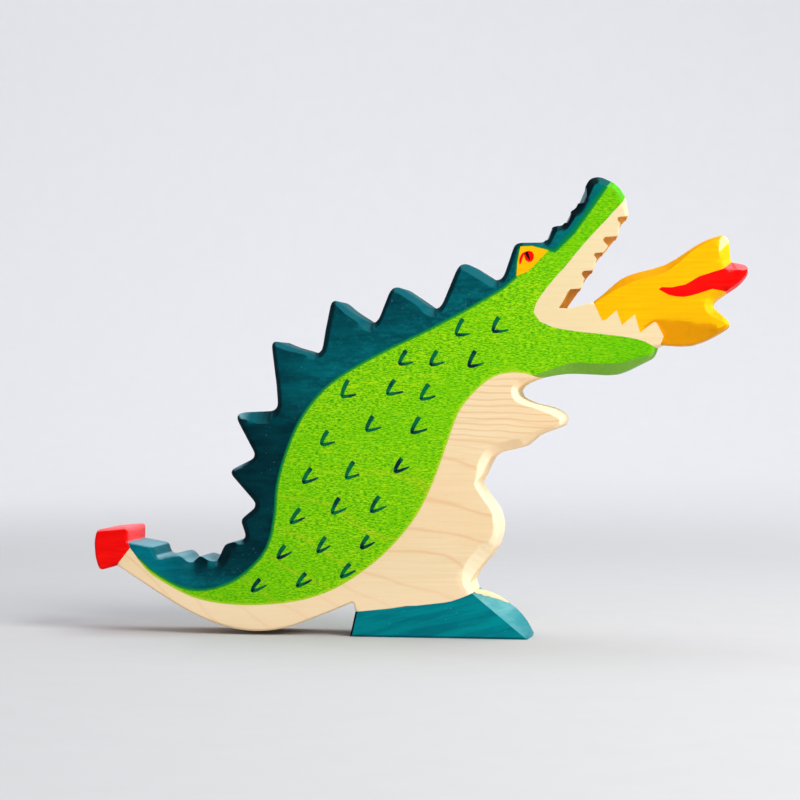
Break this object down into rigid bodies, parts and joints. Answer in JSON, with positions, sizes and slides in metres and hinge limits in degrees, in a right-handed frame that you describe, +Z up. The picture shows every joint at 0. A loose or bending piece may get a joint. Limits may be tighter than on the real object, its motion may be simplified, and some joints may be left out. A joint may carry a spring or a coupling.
{
  "type": "wooden toy dragon",
  "caption": "Flat stand-up toy dragon cut from a wooden board, with a saw-toothed crest, open toothed jaws breathing a flame, and a long flat foot to stand on.",
  "frame": {"origin": "centre of the foot's sole, on the ground and on the board's middle plane", "axes": "+X the way the dragon faces, along the board; +Y through the board's thickness, to the dragon's left; +Z up"},
  "size_m": [0.2409, 0.025, 0.167],
  "materials": {
    "lime_stain": "lime-green water stain, satin, grain showing through",
    "teal_stain": "dark teal stain, satin",
    "bare_maple": "bare sanded maple, lightly oiled",
    "yellow_stain": "golden yellow stain, satin",
    "red_stain": "bright red stain, satin"
  },
  "bodies": {
    "root": {"body": "lime_stain", "back_crest": "teal_stain", "belly": "bare_maple", "teeth": "bare_maple", "instep": "bare_maple", "foot": "teal_stain", "flame": "yellow_stain", "flame_tongue": "red_stain", "tail_tip": "red_stain", "eye_left": "yellow_stain", "eye_right": "yellow_stain"}
  },
  "joints": []
}
